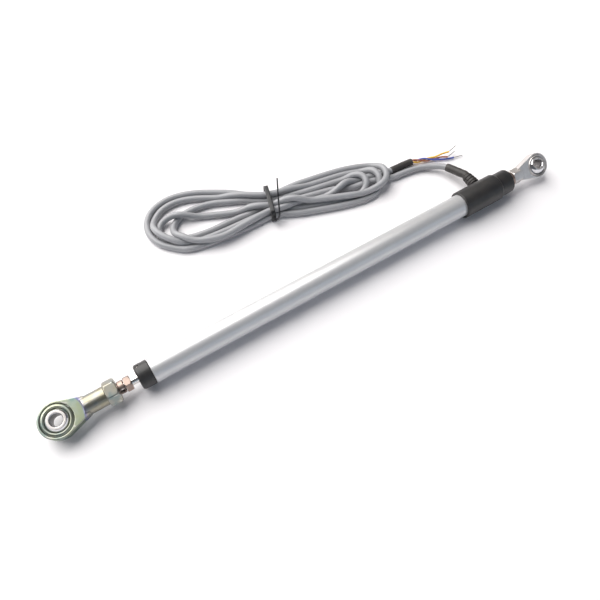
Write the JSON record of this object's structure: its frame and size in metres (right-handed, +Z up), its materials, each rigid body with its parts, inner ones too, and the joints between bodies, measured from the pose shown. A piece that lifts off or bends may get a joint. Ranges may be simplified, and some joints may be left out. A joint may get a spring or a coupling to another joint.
{
  "type": "linear position transducer",
  "caption": "Slim rod-type linear transducer: a sliding rod in a round tube, a rod end bearing at each end and a bundled side cable.",
  "frame": {"origin": "on the floor, below the middle of the object's length, under the tube's axis", "axes": "+X along the actuator's axis from the rod's eye to the rear eye, +Y towards the side the cable leaves, +Z up from the surface it lies on"},
  "size_m": [0.3118, 0.1086, 0.0235],
  "materials": {
    "zinc_steel": "yellow-green passivated zinc plating on steel, satin, faintly iridescent",
    "bright_steel": "bright nickel-plated steel, slightly worn",
    "bearing_ball": "polished chromed bearing steel",
    "nickel_steel": "warm-toned nickel-plated turned steel",
    "polished_rod": "ground and polished stainless rod",
    "anodised_tube": "satin clear-anodised extruded aluminium",
    "machined_aluminium": "machined aluminium",
    "black_housing": "satin moulded black polymer",
    "black_rubber": "soft black rubber",
    "bronze": "sintered bronze",
    "board": "glass-filled circuit laminate",
    "conductive_track": "screened conductive plastic",
    "nylon": "natural nylon",
    "gilded_contact": "gold-plated spring alloy",
    "cable_jacket": "grey soft PVC cable jacket",
    "core_brown": "brown PVC insulation",
    "core_blue": "blue PVC insulation",
    "core_yellow": "yellow-orange PVC insulation",
    "tinned_copper": "tinned stranded copper"
  },
  "bodies": {
    "housing": {"rear_rod_end": "bright_steel", "rear_race": "bright_steel", "rear_jam_nut": "bright_steel", "cap_set_screw": "bright_steel", "tube": "anodised_tube", "rear_plug": "machined_aluminium", "front_cap": "black_housing", "rear_housing": "black_housing", "cable_tie": "black_housing", "strain_relief": "black_rubber", "cable_sleeve": "black_rubber", "wire_end_sleeve": "black_rubber", "rod_wiper": "black_rubber", "cap_seal": "black_rubber", "front_bumper": "black_rubber", "rear_bumper": "black_rubber", "guide_bush": "bronze", "track_board": "board", "resistive_track": "conductive_track", "collector_track": "conductive_track", "terminal_disc": "nylon", "terminal_brown": "gilded_contact", "terminal_blue": "gilded_contact", "terminal_yellow": "gilded_contact", "cable": "cable_jacket", "cable_hank": "cable_jacket", "core_brown": "core_brown", "lead_brown": "core_brown", "core_blue": "core_blue", "lead_blue": "core_blue", "core_yellow": "core_yellow", "lead_yellow": "core_yellow", "tinned_end_brown": "tinned_copper", "tinned_end_blue": "tinned_copper", "tinned_end_yellow": "tinned_copper"},
    "carriage": {"wiper_carriage": "nylon", "carriage_pin": "bright_steel", "track_wiper": "gilded_contact", "collector_wiper": "gilded_contact"},
    "rod": {"rod": "polished_rod", "front_jam_nut": "nickel_steel", "rod_adapter": "nickel_steel", "front_rod_end": "zinc_steel", "front_race": "zinc_steel"},
    "front_ball": {"front_ball": "bearing_ball"},
    "rear_ball": {"rear_ball": "bearing_ball"}
  },
  "joints": [
    {"name": "rod_slide", "type": "slide", "parent": "housing", "child": "carriage", "axis": [-1, 0, 0], "range_m": [0, 0.15]},
    {"name": "rod_spin", "type": "hinge", "parent": "carriage", "child": "rod", "pos_m": [0.09, 0, 0.0078], "axis": [1, 0, 0], "continuous": true},
    {"name": "front_ball_tilt", "type": "hinge", "parent": "rod", "child": "front_ball", "pos_m": [-0.1469, 0, 0.0078], "axis": [0, 0.9703, 0.2419], "range_deg": [-13, 13]},
    {"name": "rear_ball_tilt", "type": "hinge", "parent": "housing", "child": "rear_ball", "pos_m": [0.1487, 0, 0.0078], "axis": [1, 0, 0], "range_deg": [0, 34]}
  ]
}
